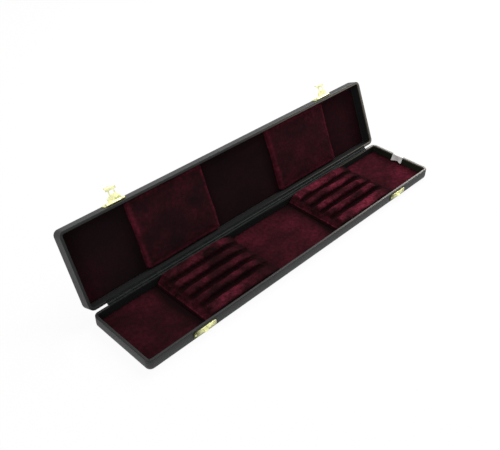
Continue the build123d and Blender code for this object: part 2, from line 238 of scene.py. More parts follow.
def points_of(piece):
    """The piece's points as an array."""
    points = np.zeros(len(piece.data.vertices) * 3, np.float32)
    piece.data.vertices.foreach_get("co", points)
    return points.reshape(-1, 3).astype(float)


def set_points(piece, points):
    piece.data.vertices.foreach_set("co", points.astype(np.float32).ravel())
    piece.data.update()


def normals_of(piece):
    """The piece's outward directions, point by point."""
    normals = np.zeros(len(piece.data.vertices) * 3, np.float32)
    piece.data.vertex_normals.foreach_get("vector", normals)
    return normals.reshape(-1, 3).astype(float)


def settle(piece):
    """Turns the piece's modifiers into plain mesh."""
    bpy.context.view_layer.update()
    seen = bpy.context.evaluated_depsgraph_get()
    mesh = bpy.data.meshes.new_from_object(piece.evaluated_get(seen))
    piece.modifiers.clear()
    old = piece.data
    piece.data = mesh
    bpy.data.meshes.remove(old)
    return piece


def face_outwards(piece):
    skin = bmesh.new()
    skin.from_mesh(piece.data)
    bmesh.ops.remove_doubles(skin, verts=skin.verts, dist=1e-7)
    bmesh.ops.recalc_face_normals(skin, faces=skin.faces)
    skin.to_mesh(piece.data)
    skin.free()


def smooth(piece, angle):
    """Smooth shading, apart from edges sharper than the angle."""
    piece.data.shade_smooth()
    piece.data.set_sharp_from_angle(angle=math.radians(angle))


def ripple(points, length, seed):
    """A gentle uneven field from -1 to 1 whose bumps are about that long, the same each run."""
    waves = 7
    chance = np.random.default_rng(seed)
    total = np.zeros(len(points))
    for _ in range(waves):
        way = chance.normal(size=3)
        way /= np.linalg.norm(way)
        wave = length * chance.uniform(0.7, 1.6)
        total += np.sin(points @ way * (2 * math.pi / wave) + chance.uniform(0, 2 * math.pi))
    return np.clip(total / (0.9 * math.sqrt(waves)), -1, 1)


def paint_nap_and_light(piece, lying):
    """Says point by point, from 0 to 1, how far the velvet brightens: where its pile lies over, and painted
    light and shade.
    """
    nap_and_light = piece.data.attributes.new("nap_and_light", "FLOAT", "POINT")
    nap_and_light.data.foreach_set("value", np.clip(lying, 0, 1).astype(np.float32))


def dress(piece, body, material, replaced):
    """Gives a finished piece its material, its body and the CAD nodes that it stands for."""
    if material is not None:
        piece.data.materials.clear()
        piece.data.materials.append(material)
    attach(piece, body)
    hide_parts(*replaced)


# Material helpers


class Recipe:
    """A material whose pattern is worked out on Object coordinates, in metres."""

    def __init__(self, name):
        self.material = bpy.data.materials.new(name + "_finish")
        self.material.use_nodes = True
        self.tree = self.material.node_tree
        self.shader = self.tree.nodes["Principled BSDF"]
        self.place = self.tree.nodes.new("ShaderNodeTexCoord").outputs["Object"]

    def node(self, kind, inputs=None, **settings):
        made = self.tree.nodes.new(kind)
        for key, value in settings.items():
            setattr(made, key, value)
        for key, value in (inputs or {}).items():
            if isinstance(value, bpy.types.NodeSocket):
                self.tree.links.new(value, made.inputs[key])
            else:
                made.inputs[key].default_value = value
        return made

    def stretched(self, scale, turn=(0, 0, 0)):
        inputs = {"Vector": self.place, "Rotation": turn, "Scale": scale}
        return self.node("ShaderNodeMapping", inputs).outputs[0]

    def noise(self, scale, detail, rough=0.5, place=None):
        inputs = {"Vector": place or self.place, "Scale": scale, "Detail": detail, "Roughness": rough}
        return self.node("ShaderNodeTexNoise", inputs).outputs["Fac"]

    def cells(self, scale):
        inputs = {"Vector": self.place, "Scale": scale}
        return self.node("ShaderNodeTexVoronoi", inputs, feature="F1").outputs["Distance"]

    def threads(self, scale, way):
        """Fine bands one after another along Y or Z."""
        inputs = {"Vector": self.place, "Scale": scale}
        return self.node("ShaderNodeTexWave", inputs, bands_direction=way).outputs["Fac"]

    def reach(self, value, low, high, out_low=0.0, out_high=1.0):
        inputs = {"Value": value, "From Min": low, "From Max": high, "To Min": out_low, "To Max": out_high}
        return self.node("ShaderNodeMapRange", inputs).outputs[0]

    def sum(self, first, second, operation="ADD"):
        return self.node("ShaderNodeMath", {0: first, 1: second}, operation=operation).outputs[0]

    def clamped(self, value):
        """The value kept between 0 and 1."""
        return self.node("ShaderNodeMath", {0: value, 1: 0.0}, use_clamp=True).outputs[0]

    def mix(self, amount, first, second):
        made = self.node("ShaderNodeMix", {"Factor": amount}, data_type="RGBA")
        for key, value in ((6, first), (7, second)):
            if isinstance(value, bpy.types.NodeSocket):
                self.tree.links.new(value, made.inputs[key])
            else:
                made.inputs[key].default_value = (*value, 1.0)
        return made.outputs[2]

    def set(self, **values):
        for key, value in values.items():
            self.shader.inputs[key.replace("_", " ")].default_value = value

    def link(self, value, socket):
        self.tree.links.new(value, self.shader.inputs[socket])

    def bump(self, height, strength, distance, under=None):
        inputs = {"Height": height, "Strength": strength, "Distance": distance}
        if under is not None:
            inputs["Normal"] = under
        return self.node("ShaderNodeBump", inputs).outputs[0]


def shade(colour, amount):
    """A colour made lighter or darker."""
    return tuple(min(1.0, part * amount) for part in colour)


def leatherette_material(body):
    """Black leatherette with a fine pebble grain: matt inside the shell, where painted shade darkens it, its
    rims made pale to the right by a painted highlight, and the base's wall paler at its foot and at the
    inside of its right end from painted light."""
    base = tuple(colours().leatherette)
    recipe = Recipe("leatherette_" + body)
    angle = OPEN_ANGLE if body == "lid" else 0.0
    inputs = {"Vector": recipe.place, "Center": tuple(HINGE_PLACE), "Angle": angle}
    closed = recipe.node("ShaderNodeVectorRotate", inputs, rotation_type="X_AXIS").outputs[0]
    parts = recipe.node("ShaderNodeSeparateXYZ", {0: closed}).outputs
    off = [recipe.sum(recipe.sum(parts[part], middle, "SUBTRACT"), 0.0, "ABSOLUTE")
           for part, middle in ((0, 0.0), (1, 0.0), (2, HINGE_PLACE.z))]
    # Painted shade: inside the shell the covering is darkened, much more in the base than in the lid, and
    # made more matt.
    inner = recipe.sum(off[2], INSIDE_Z, "LESS_THAN")
    for part, half in ((0, INSIDE_X), (1, INSIDE_Y)):
        inner = recipe.sum(inner, recipe.sum(off[part], half, "LESS_THAN"), "MULTIPLY")
    # A painted highlight along the inner edges of the rims, growing towards the right.
    beyond_x = recipe.sum(off[0], RIM_X, "SUBTRACT")
    beyond_y = recipe.sum(off[1], RIM_Y, "SUBTRACT")
    beyond = recipe.sum(beyond_x, beyond_y, "MAXIMUM")
    near_rim = recipe.reach(off[2], 0.0012, 0.0024, 1.0, 0.0)
    rightwards = recipe.reach(parts[0], 0.0, 0.2)
    rim = recipe.sum(near_rim, rightwards, "MULTIPLY")
    edge = recipe.reach(recipe.sum(beyond, 0.0, "ABSOLUTE"), 0.0008, 0.0024, 1.0, 0.15)
    edge = recipe.sum(edge, rim, "MULTIPLY")
    handled = recipe.noise(28, 4, 0.6)
    tone = recipe.mix(recipe.reach(handled, 0.3, 0.7), shade(base, 0.8), shade(base, 1.25))
    grain = recipe.cells(1150)
    dark = recipe.reach(grain, 0.1, 0.6, 1.0, 0.0)
    tone = recipe.mix(recipe.sum(dark, 0.25, "MULTIPLY"), tone, shade(base, 0.45))
    inside_shade_tone = shade(base, {"base": 0.06, "lid": 0.5}[body])
    if body == "base":
        # Painted light: the base's wall is paler towards its foot, and the inside of its right end is paler
        # towards the front.
        foot_tone, end_tone = (0.072, 0.075, 0.075), (0.018, 0.02, 0.012)
        foot = recipe.reach(parts[2], 0.0125, 0.001, 0.0, 0.8)
        tone = recipe.mix(foot, tone, foot_tone)
        end = recipe.reach(parts[1], 0.036, -0.03, 0.35, 1.0)
        end = recipe.sum(recipe.reach(parts[0], 0.216, 0.219), end, "MULTIPLY")
        inside_shade_tone = recipe.mix(end, inside_shade_tone, end_tone)
    tone = recipe.mix(inner, tone, inside_shade_tone)
    rim_highlight_tone = (0.15, 0.135, 0.11)
    recipe.link(recipe.mix(edge, tone, rim_highlight_tone), "Base Color")
    worn = recipe.reach(handled, 0.3, 0.7, 0.42, 0.54)
    worn = recipe.sum(worn, recipe.sum(inner, 0.4, "MULTIPLY"))
    recipe.link(recipe.sum(worn, recipe.sum(rim, 0.14, "MULTIPLY"), "SUBTRACT"), "Roughness")
    soft = recipe.bump(recipe.noise(60, 2), 0.25, 0.0006)
    recipe.link(recipe.bump(grain, 0.5, 0.00012, soft), "Normal")
    recipe.set(Specular_IOR_Level=0.18)
    return recipe.material


def velvet_material(name, dark, bright, patch, lying, turn):
    """Burgundy velvet: short pile that brightens where it lies over, as soft patches and a point attribute
    say; that attribute also holds painted light and shade.
    """
    recipe = Recipe(name)
    brushed = recipe.noise(patch, 3, 0.6, recipe.stretched((0.55, 1.0, 1.0), turn))
    small = recipe.noise(patch * 4.8, 2, 0.5)
    speckled = recipe.reach(small, 0.3, 0.7, 0.5, 1.4)
    mottled = recipe.sum(recipe.reach(brushed, *lying), speckled, "MULTIPLY")
    nap_and_light = recipe.node("ShaderNodeAttribute", attribute_name="nap_and_light").outputs["Fac"]
    patches = recipe.clamped(recipe.sum(mottled, nap_and_light, "MULTIPLY"))
    pile = recipe.noise(2600, 1, 0.5)
    tone = recipe.mix(patches, dark, bright)
    recipe.link(recipe.mix(recipe.reach(pile, 0.3, 0.7, 0.0, 0.4), tone, shade(dark, 0.4)), "Base Color")
    low = recipe.bump(small, 0.3, 0.0004)
    recipe.link(recipe.bump(pile, 0.45, 0.00012, low), "Normal")
    recipe.set(Roughness=0.95, Specular_IOR_Level=0.0, Sheen_Weight=0.1, Sheen_Roughness=0.3)
    recipe.set(Sheen_Tint=(0.8, 0.08, 0.2, 1.0))
    return recipe.material


def brass_material(name, amount, strike=None):
    """Pale plated brass, polished, with painted dark reflections in olive patches and fine rub marks. A
    strike gets painted shade at its ends and along its foot."""
    base = shade(tuple(colours().brass), amount)
    recipe = Recipe(name)
    # Olive patches of painted dark reflection.
    cloudy = recipe.noise(230, 3, 0.6)
    dark_reflection_tone = (base[0] * 0.5, base[1] * 0.5, base[2] * 0.36)
    tone = recipe.mix(recipe.reach(cloudy, 0.46, 0.68), base, dark_reflection_tone)
    if strike:
        # Painted shade on a strike: dark at its ends and along its foot.
        low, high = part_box(strike)
        parts = recipe.node("ShaderNodeSeparateXYZ", {0: recipe.place}).outputs
        strike_shade = recipe.reach(parts[0], low.x + 0.003, low.x + 0.013, 1.0, 0.0)
        strike_shade = recipe.sum(strike_shade, recipe.reach(parts[0], high.x - 0.007, high.x, 0.0, 0.5), "MAXIMUM")
        strike_shade = recipe.sum(strike_shade, recipe.reach(parts[2], low.z + 0.0004, low.z + 0.0022, 0.75, 0.0), "MAXIMUM")
        strike_shade_tone = (base[0] * 0.09, base[1] * 0.1, base[2] * 0.07)
        tone = recipe.mix(strike_shade, tone, strike_shade_tone)
    recipe.link(tone, "Base Color")
    rubbed = recipe.noise(900, 2, 0.6, recipe.stretched((0.12, 1.0, 1.0), (0, 0.3, 0.2)))
    recipe.link(recipe.reach(rubbed, 0.3, 0.7, 0.3, 0.46), "Roughness")
    recipe.link(recipe.bump(rubbed, 0.12, 0.00005), "Normal")
    recipe.set(Metallic=1.0)
    return recipe.material


def steel_material():
    """Black lacquered steel, rubbed a little thin."""
    base = tuple(colours().steel)
    recipe = Recipe("black_steel")
    worn = recipe.noise(220, 4, 0.65)
    recipe.link(recipe.mix(recipe.reach(worn, 0.5, 0.75), base, shade(base, 2.2)), "Base Color")
    recipe.link(recipe.reach(worn, 0.3, 0.7, 0.45, 0.6), "Roughness")
    recipe.link(recipe.bump(recipe.noise(1500, 2), 0.2, 0.00005), "Normal")
    recipe.set(Specular_IOR_Level=0.12)
    return recipe.material


def ribbon_material():
    """White ribbon, woven across its width."""
    base = tuple(colours().ribbon)
    recipe = Recipe("ribbon")
    weave = recipe.sum(recipe.threads(420.0, "Y"), recipe.threads(300.0, "Z"), "MULTIPLY")
    tone = recipe.mix(recipe.noise(250, 2), base, shade(base, 0.88))
    recipe.link(recipe.mix(recipe.sum(weave, 0.2, "MULTIPLY"), tone, shade(base, 0.7)), "Base Color")
    recipe.link(recipe.bump(weave, 0.4, 0.00006), "Normal")
    recipe.set(Roughness=0.8, Specular_IOR_Level=0.3, Sheen_Weight=0.8, Sheen_Roughness=0.5)
    return recipe.material


def board_material():
    """Plain board with short pale fibres."""
    base = tuple(colours().board)
    recipe = Recipe("board")
    fibres = recipe.noise(700, 3, 0.6, recipe.stretched((0.08, 1.0, 1.0)))
    recipe.link(recipe.mix(recipe.reach(fibres, 0.3, 0.7), shade(base, 0.7), shade(base, 1.15)), "Base Color")
    recipe.link(recipe.bump(fibres, 0.3, 0.0001), "Normal")
    recipe.set(Roughness=0.85)
    return recipe.material


def finish_of(name):
    """A named finish, made the first time that it is asked for."""
    known = bpy.data.materials.get(name + "_finish")
    if known is not None:
        return known
    dark = tuple(colours().velvet)
    bright = tuple(colours().velvet_bright)
    # Painted shade: the velvet in the lid is a shaded copy, its dark tone a little paler and greyer.
    lid_shaded_dark = (dark[0] * 1.1, dark[1] * 1.5, dark[2] * 1.5)
    makers = {
        "leatherette_base": lambda: leatherette_material("base"),
        "leatherette_lid": lambda: leatherette_material("lid"),
        "brass": lambda: brass_material("brass", 1.0),
        # The nails' brass is a darker copy: painted shade.
        "brass_nails": lambda: brass_material("brass_nails", 0.6),
        "strike_left": lambda: brass_material("strike_left", 1.0, "strike_left"),
        "strike_right": lambda: brass_material("strike_right", 1.0, "strike_right"),
        "black_steel": steel_material,
        "ribbon": ribbon_material,
        "board": board_material,
        # The bright tone is scaled for each place as painted light and shade: brightest on the racks, darkest
        # in the lid.
        "velvet_lining": lambda: velvet_material(
            "velvet_lining", dark, shade(bright, 0.8), 55, (0.15, 0.75), (0, 0, 0.5)
        ),
        "velvet_lid_shaded": lambda: velvet_material(
            "velvet_lid_shaded", lid_shaded_dark, shade(bright, 0.6), 55, (0.15, 0.75), (0, 0, 0.5)
        ),
        "velvet_rack": lambda: velvet_material(
            "velvet_rack", dark, shade(bright, 1.4), 75, (0.32, 0.68), (0, 0, 0.7)
        ),
        "velvet_pad": lambda: velvet_material(
            "velvet_pad", lid_shaded_dark, shade(bright, 1.0), 55, (0.15, 0.75), (0, 0, 0.2)
        ),
    }
    return makers[name]()


def refinish(slot, *nodes, finish=None):
    """Gives CAD nodes that stay as they are their finish."""
    for name in nodes:
        node = frame["nodes"][name]
        node.data.materials.clear()
        node.data.materials.append(finish_of(finish or slot))


# Velvet over foam


def swell(piece, glued, limit):
    """Lets a cover swell like velvet over foam, held where it is glued."""
    rest = points_of(piece)
    set_points(piece, rest * CLOTH_SCALE)
    held = piece.vertex_groups.new(name="Glued")
    for number in np.nonzero(glued)[0]:
        held.add([int(number)], 1.0, "REPLACE")
    cover = piece.modifiers.new("Cover", "CLOTH")
    cover.settings.quality = 5
    cover.settings.use_pressure = True
    cover.settings.uniform_pressure_force = 4.0
    cover.settings.vertex_group_mass = held.name
    cover.settings.effector_weights.gravity = 0.0
    cover.point_cache.frame_start = 1
    cover.point_cache.frame_end = CLOTH_FRAMES
    for step in range(1, CLOTH_FRAMES + 1):
        bpy.context.scene.frame_set(step)
    seen = bpy.context.evaluated_depsgraph_get()
    shift = points_of(piece.evaluated_get(seen)) / CLOTH_SCALE - rest
    piece.modifiers.clear()
    piece.vertex_groups.clear()
    bpy.context.scene.frame_set(1)
    shift *= (limit / np.maximum(np.linalg.norm(shift, axis=1), limit))[:, None]
    set_points(piece, rest + shift)


def skinned(piece, size):
    """An even skin of small faces over a piece."""
    skin = piece.modifiers.new("Even skin", "REMESH")
    skin.mode = "VOXEL"
    skin.voxel_size = size
    return settle(piece)


def subdivide(piece):
    finer = piece.modifiers.new("Finer", "SUBSURF")
    finer.levels = 1
    finer.render_levels = 1
    settle(piece)


def velvet_rack(node, seed, waves, glow, outer_glow):
    """A ridged foam rack under velvet, its crests slightly wavy, with painted highlights on the crests that
    are brighter on the outer ridges.
    """
    low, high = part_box(node)
    piece = skinned(copy_of(node, node + "_velvet"), sizes().skin)
    points = points_of(piece)
    above = np.clip((points[:, 2] - low.z) / 0.003, 0, 1)
    points -= normals_of(piece) * (sizes().tuck * above)[:, None]
    # Each ridge gets its own waves: up and down first, then to and fro.
    rise = np.clip((points[:, 2] - low.z) / (high.z - low.z), 0, 1)
    along = points.copy()
    along[:, 2] = 0
    along[:, 1] = np.round(points[:, 1] / RIDGE_PITCH) * 0.05
    wander = ripple(along, 0.021, seed) - 0.35
    points[:, 2] += wander * waves * np.clip((rise - 0.45) / 0.4, 0, 1)
    sway = ripple(along + 0.31, 0.034, seed + 1)
    points[:, 1] += sway * waves * 0.5 * np.clip((rise - 0.35) / 0.5, 0, 1)
    set_points(piece, points)
    glued = points[:, 2] < low.z + 0.0012
    swell(piece, glued, sizes().swell)
    subdivide(piece)
    points = points_of(piece)
    loose = np.clip((points[:, 2] - low.z) / 0.002, 0, 1)
    creases = 0.16 * ripple(points, 0.006, seed + 2) + 0.10 * ripple(points, 0.0032, seed + 3)
    points += normals_of(piece) * (creases * MM * loose)[:, None]
    points[:, 2] = np.maximum(points[:, 2], low.z)
    set_points(piece, points)
    smooth(piece, 80)
    # Painted highlights on the crests and on the left end, most of all along its edge.
    crest = np.clip((points[:, 2] - high.z + 0.0045) / 0.0035, 0, 1)
    end_edge = np.exp(-((points[:, 0] - low.x - 0.0012) / 0.0009) ** 2) * (points[:, 2] > low.z + 0.003)
    outer = np.clip((np.abs(points[:, 1]) - 0.02) / 0.006, 0, 1)
    crest *= (0.6 + 0.4 * ripple(points, 0.02, seed + 4)) * (glow + outer_glow * outer)
    end_slope = np.clip(1 - (points[:, 0] - low.x) / 0.011, 0, 1) * (points[:, 2] > low.z + 0.003)
    paint_nap_and_light(piece, 0.05 + crest + 0.8 * end_edge + 0.45 * end_slope)
    return piece


def velvet_pad(node, seed, lying):
    """A padded block in the lid, crowned and drawn in at its sides."""
    piece = skinned(copy_of(node, node + "_velvet"), sizes().skin)
    opened = np.array(lid_turn())
    closed = np.linalg.inv(opened)
    points = points_of(piece) @ closed[:3, :3].T + closed[:3, 3]
    top, bottom = points[:, 2].max(), points[:, 2].min()
    glued = points[:, 2] > top - 0.0012
    set_points(piece, points)
    swell(piece, glued, sizes().swell)
    subdivide(piece)
    points = points_of(piece)
    loose = np.clip((top - points[:, 2]) / 0.003, 0, 1)
    soft = ripple(points, 0.03, seed) * sizes().pad_waves
    creases = (0.12 * ripple(points, 0.009, seed + 1) + 0.07 * ripple(points, 0.004, seed + 2)) * MM
    points += normals_of(piece) * ((soft + creases) * loose)[:, None]
    points[:, 2] = np.clip(points[:, 2], bottom - 0.0006, top)
    set_points(piece, points @ opened[:3, :3].T + opened[:3, 3])
    smooth(piece, 80)
    # Painted sheen brightens the block's edges, where the pile is also rubbed over.
    middle, half = (points.max(0) + points.min(0)) / 2, (points.max(0) - points.min(0)) / 2
    inside = (half - np.abs(points - middle))[:, :2].min(axis=1)
    rubbed = np.exp(-((inside - 0.0015) / 0.0026) ** 2)
    paint_nap_and_light(piece, lying + 0.1 * ripple(points, 0.03, seed + 4) + 0.9 * rubbed)
    return piece


def graded(half, step):
    """Places from -half to half, closer together near the two ends."""
    near = [0.0, 0.15 * MM, 0.4 * MM, 0.8 * MM, 1.6 * MM]
    middle = np.linspace(-half + 2.6 * MM, half - 2.6 * MM, max(3, round(2 * half / step)))
    return np.concatenate([[-half + x for x in near], middle, [half - x for x in reversed(near)]])


def velvet_card(name, seed):
    """A velvet covered card as it lies in the base: rolled edges and a slightly uneven face."""
    low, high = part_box("base_floor_lining")
    half_x, half_y = (high.x - low.x) / 2, (high.y - low.y) / 2
    corner, roll = 2.7 * MM, 0.5 * MM
    xs, ys = graded(half_x, 2.5 * MM), graded(half_y, 2.5 * MM)
    grid = np.array([(x, y, 0.0) for y in ys for x in xs])
    # The grid's square corners are drawn in to round ones.
    beyond = np.maximum(np.abs(grid[:, :2]) - (half_x - corner, half_y - corner), 0)
    spread = np.linalg.norm(beyond, axis=1)
    square = np.maximum(beyond[:, 0], beyond[:, 1])
    pull = np.where(spread > 1e-9, square / np.maximum(spread, 1e-9), 1.0)
    grid[:, :2] -= np.sign(grid[:, :2]) * beyond * (1 - pull)[:, None]
    beyond = np.maximum(np.abs(grid[:, :2]) - (half_x - corner, half_y - corner), 0)
    edge = np.minimum(half_x - np.abs(grid[:, 0]), half_y - np.abs(grid[:, 1]))
    edge = np.where(beyond.min(axis=1) > 0, corner - np.linalg.norm(beyond, axis=1), edge)
    inward = np.clip(edge / roll, 0, 1)
    uneven = 0.6 * ripple(grid, 0.055, seed) + 0.4 * ripple(grid, 0.018, seed + 1)
    top = grid.copy()
    rolled = roll * (1 - np.sqrt(1 - (1 - inward) ** 2))
    top[:, 2] = high.z - rolled + (uneven - 0.2) * sizes().card_waves * inward
    under = grid.copy()
    under[:, 2] = low.z
    wide, deep, count = len(xs), len(ys), len(grid)
    faces = []
    for j in range(deep - 1):
        for i in range(wide - 1):
            a = j * wide + i
            faces.append((a, a + 1, a + wide + 1, a + wide))
            faces.append((a + count, a + wide + count, a + wide + 1 + count, a + 1 + count))
    ring = list(range(wide)) + [j * wide + wide - 1 for j in range(1, deep)]
    ring += [(deep - 1) * wide + i for i in range(wide - 2, -1, -1)]
    ring += [j * wide for j in range(deep - 2, 0, -1)]
    for a, b in zip(ring, ring[1:] + ring[:1]):
        faces.append((a, a + count, b + count, b))
    piece = shape(name, np.vstack([top, under]), faces)
    face_outwards(piece)
    smooth(piece, 50)
    return piece


def fading(points, start, length):
    """Falls from 1 to 0 leftwards from the place start along X, and is 0 to its right."""
    gap = start - points[:, 0]
    return np.where(gap > -0.001, np.exp(-np.maximum(gap, 0) / length), 0)


# Repeated shapes, set out by Geometry Nodes


def turned(name, profile, turns):
    """A closed turned shape about Z, from (radius, height) pairs that start and end on the axis."""
    points = [(0, 0, profile[0][1])]
    for radius, height in profile[1:-1]:
        for i in range(turns):
            angle = 2 * math.pi * i / turns
            points.append((radius * math.cos(angle), radius * math.sin(angle), height))
    points.append((0, 0, profile[-1][1]))
    rings = len(profile) - 2
    faces = []
    for i in range(turns):
        j = (i + 1) % turns
        faces.append((0, 1 + j, 1 + i))
        for r in range(rings - 1):
            a, b = 1 + r * turns, 1 + (r + 1) * turns
            faces.append((a + i, a + j, b + j, b + i))
        last = 1 + (rings - 1) * turns
        faces.append((last + i, last + j, len(points) - 1))
    piece = shape(name, points, faces)
    face_outwards(piece)
    return piece


# Half sections of the nails as (radius, height) in millimetres, with the tops of their heads at 0.
HINGE_NAIL = (
    (0, -6.3), (0.25, -6.1), (0.4, -5.4), (0.4, -0.3), (0.7, -0.3),
    (0.7, -0.06), (0.62, -0.01), (0.3, -0.01), (0, 0),
)
DOME = tuple((1.3 * math.cos(a), -0.8 + 0.12 + 0.68 * math.sin(a)) for a in np.linspace(0, 1.35, 6))
DOMED_NAIL = (
    (0, -3.2), (0.35, -3.0), (0.6, -2.4), (0.6, -0.8), (1.24, -0.8), (1.3, -0.74),
) + DOME + ((0, 0),)


def set_out(name, pattern, places, turn, spin, material, seed):
    """Copies of a pattern at the given places, each turned by chance about its own axis up to spin."""
    tree = bpy.data.node_groups.new(name + "_row", "GeometryNodeTree")
    sockets = tree.interface
    sockets.new_socket("Geometry", in_out="INPUT", socket_type="NodeSocketGeometry")
    named = {
        "Pattern": ("NodeSocketObject", pattern),
        "Turn": ("NodeSocketVector", turn),
        "Spin": ("NodeSocketFloat", spin),
        "Material": ("NodeSocketMaterial", material),
    }
    keys = {
        key: sockets.new_socket(key, in_out="INPUT", socket_type=kind).identifier
        for key, (kind, _) in named.items()
    }
    sockets.new_socket("Geometry", in_out="OUTPUT", socket_type="NodeSocketGeometry")
    made = {}
    for key, kind in (
        ("in", "NodeGroupInput"),
        ("out", "NodeGroupOutput"),
        ("pattern", "GeometryNodeObjectInfo"),
        ("put", "GeometryNodeInstanceOnPoints"),
        ("spin", "GeometryNodeRotateInstances"),
        ("chance", "FunctionNodeRandomValue"),
        ("about", "ShaderNodeCombineXYZ"),
        ("real", "GeometryNodeRealizeInstances"),
        ("paint", "GeometryNodeSetMaterial"),
    ):
        made[key] = tree.nodes.new(kind)
    made["chance"].data_type = "FLOAT"
    made["chance"].inputs["Seed"].default_value = seed
    spun = [socket for socket in made["chance"].inputs if socket.name == "Max" and socket.type == "VALUE"][0]
    value = [socket for socket in made["chance"].outputs if socket.type == "VALUE"][0]
    join_up = tree.links.new
    join_up(made["in"].outputs["Geometry"], made["put"].inputs["Points"])
    join_up(made["in"].outputs["Pattern"], made["pattern"].inputs["Object"])
    join_up(made["pattern"].outputs["Geometry"], made["put"].inputs["Instance"])
    join_up(made["in"].outputs["Turn"], made["put"].inputs["Rotation"])
    join_up(made["in"].outputs["Spin"], spun)
    join_up(value, made["about"].inputs["Z"])
    join_up(made["put"].outputs["Instances"], made["spin"].inputs["Instances"])
    join_up(made["about"].outputs[0], made["spin"].inputs["Rotation"])
    join_up(made["spin"].outputs["Instances"], made["real"].inputs["Geometry"])
    join_up(made["real"].outputs["Geometry"], made["paint"].inputs["Geometry"])
    join_up(made["in"].outputs["Material"], made["paint"].inputs["Material"])
    join_up(made["paint"].outputs["Geometry"], made["out"].inputs["Geometry"])
    row = shape(name, places, [])
    nodes = row.modifiers.new("Row", "NODES")
    nodes.node_group = tree
    for key, (_, value) in named.items():
        nodes[keys[key]] = value
    settle(row)
    bpy.data.objects.remove(pattern)
    return row


def nail_places(node, way):
    """The middle of each nail's head in a node of nails, where way points out of the surface."""
    points = points_of(frame["nodes"][node])
    way = np.array(way, float)
    depth = points @ way
    tips = points[depth > depth.max() - 1e-5]
    flat = tips - np.outer(tips @ way, way)
    groups = []
    for place in flat:
        for group in groups:
            if np.linalg.norm(group[0] - place) < 0.004:
                group.append(place)
                break
        else:
            groups.append([place])
    middles = [(np.min(group, axis=0) + np.max(group, axis=0)) / 2 for group in groups]
    return [tuple(middle + way * depth.max()) for middle in middles]


def move(piece, matrix):
    """Moves a piece's mesh, keeping its faces outwards when it is mirrored."""
    piece.data.transform(matrix)
    if matrix.determinant() < 0:
        piece.data.flip_normals()
    piece.data.update()


# The camera and the stage


def photograph_camera():
    """The camera where the photograph was taken from."""
    place = Vector((-0.4443228, -0.37782804, 0.47084123))
    yaw, pitch, roll, focal = 0.80251, 0.65688, 0.01122, 674.8389
    ahead = Vector((math.sin(yaw) * math.cos(pitch), math.cos(yaw) * math.cos(pitch), -math.sin(pitch)))
    level = Vector((math.cos(yaw), -math.sin(yaw), 0))
    over = level.cross(ahead)
    right = math.cos(roll) * level + math.sin(roll) * over
    up = -math.sin(roll) * level + math.cos(roll) * over
    data = bpy.data.cameras.new("photograph")
    data.sensor_width = 36.0
    data.lens = focal * 36.0 / PHOTO_WIDTH
    data.clip_start = 0.01
    data.clip_end = 20.0
    camera = bpy.data.objects.new("photograph", data)
    turn = Matrix((right, up, -ahead)).transposed().to_4x4()
    camera.matrix_world = Matrix.Translation(place) @ turn
    bpy.context.scene.collection.objects.link(camera)
    bpy.context.scene.camera = camera


def soft_lamp(name, place, aim, wide, power):
    """A large soft lamp aimed at a point."""
    data = bpy.data.lights.new(name, "AREA")
    data.shape = "DISK"
    data.size = wide
    data.energy = power
    lamp = bpy.data.objects.new(name, data)
    lamp.location = place
    lamp.rotation_mode = "QUATERNION"
    lamp.rotation_quaternion = (Vector(aim) - Vector(place)).to_track_quat("-Z", "Y")
    bpy.context.scene.collection.objects.link(lamp)


def seen_rays(tree):
    """How far a ray is one that shows the background: camera, glossy or transmission."""
    path = tree.nodes.new("ShaderNodeLightPath")
    first = tree.nodes.new("ShaderNodeMath")
    second = tree.nodes.new("ShaderNodeMath")
    first.operation = second.operation = "MAXIMUM"
    tree.links.new(path.outputs["Is Camera Ray"], first.inputs[0])
    tree.links.new(path.outputs["Is Glossy Ray"], first.inputs[1])
    tree.links.new(first.outputs[0], second.inputs[0])
    tree.links.new(path.outputs["Is Transmission Ray"], second.inputs[1])
    return second.outputs[0]


def white_world():
    world = bpy.data.worlds.new("white")
    bpy.context.scene.world = world
    world.use_nodes = True
    tree = world.node_tree
    plain = tree.nodes["Background"]
    plain.inputs["Color"].default_value = (1, 1, 1, 1)
    plain.inputs["Strength"].default_value = WORLD_LIGHT
    shown = tree.nodes.new("ShaderNodeBackground")
    shown.inputs["Color"].default_value = (1, 1, 1, 1)
    shown.inputs["Strength"].default_value = 1.0
    either = tree.nodes.new("ShaderNodeMixShader")
    tree.links.new(seen_rays(tree), either.inputs["Fac"])
    tree.links.new(plain.outputs[0], either.inputs[1])
    tree.links.new(shown.outputs[0], either.inputs[2])
    tree.links.new(either.outputs[0], tree.nodes["World Output"].inputs["Surface"])


def pale_floor():
    """A plain pale floor that shows almost white and keeps a faint shadow."""
    half = FLOOR_WIDTH / 2
    corners = [(-half, -half, 0), (half, -half, 0), (half, half, 0), (-half, half, 0)]
    floor = shape("floor", corners, [(0, 1, 2, 3)])
    recipe = Recipe("pale_floor")
    tone = recipe.mix(recipe.noise(6, 3), (0.93, 0.93, 0.93), (0.95, 0.95, 0.95))
    recipe.link(tone, "Base Color")
    recipe.set(Roughness=0.9, Specular_IOR_Level=0.1)
    bright = recipe.node("ShaderNodeEmission", {"Color": (1, 1, 1, 1), "Strength": 1.0})
    either = recipe.node("ShaderNodeMixShader")
    share = recipe.sum(seen_rays(recipe.tree), FLOOR_GLOW, "MULTIPLY")
    recipe.tree.links.new(share, either.inputs["Fac"])
    recipe.tree.links.new(recipe.shader.outputs[0], either.inputs[1])
    recipe.tree.links.new(bright.outputs[0], either.inputs[2])
    recipe.tree.links.new(either.outputs[0], recipe.tree.nodes["Material Output"].inputs["Surface"])
    floor.data.materials.append(recipe.material)


class BATONCASE_OT_coverings(Operator):
    """Give the shells their leatherette and the boards inside their finish"""

    bl_idname = "baton_case.coverings"
    bl_label = "Shell Coverings"

    def execute(self, context):
        refinish("leatherette", "base_covering", finish="leatherette_base")
        refinish("leatherette", "lid_covering", finish="leatherette_lid")
        refinish("board", "base_wall_frame", "base_bottom_board", "lid_wall_frame", "lid_top_board")
        return {"FINISHED"}


